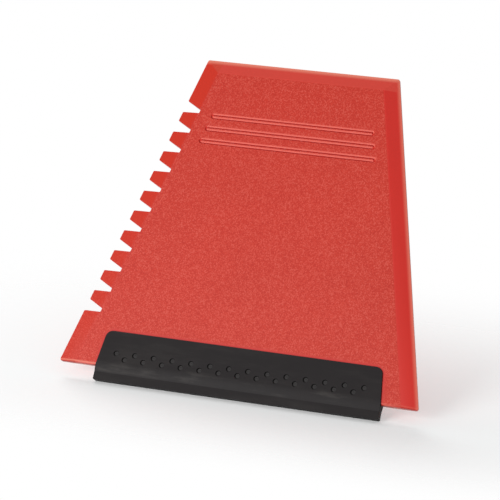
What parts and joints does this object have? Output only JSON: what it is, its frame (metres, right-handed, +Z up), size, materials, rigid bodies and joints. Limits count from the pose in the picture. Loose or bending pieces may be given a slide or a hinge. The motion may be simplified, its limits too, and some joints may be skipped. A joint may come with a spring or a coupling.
{
  "type": "ice scraper",
  "caption": "Flat tapered car-window ice scraper with a notched edge, bevelled scraping edges, grooved thumb ribs and a rubber squeegee lip.",
  "frame": {"origin": "under the middle of the lip, at its lowest edge and half way through its thickness", "axes": "+X along the lip, away from the notched side; +Y from the front face through the thickness to the back; +Z up the plate, from the lip to the narrow end"},
  "size_m": [0.1196, 0.0036, 0.1103],
  "materials": {
    "red_plastic": "fine-grained moulded faces with smooth bevels",
    "black_rubber": "matt, slightly dusty"
  },
  "bodies": {
    "root": {"scraper_plate": "red_plastic", "squeegee_lip": "black_rubber"}
  },
  "joints": []
}
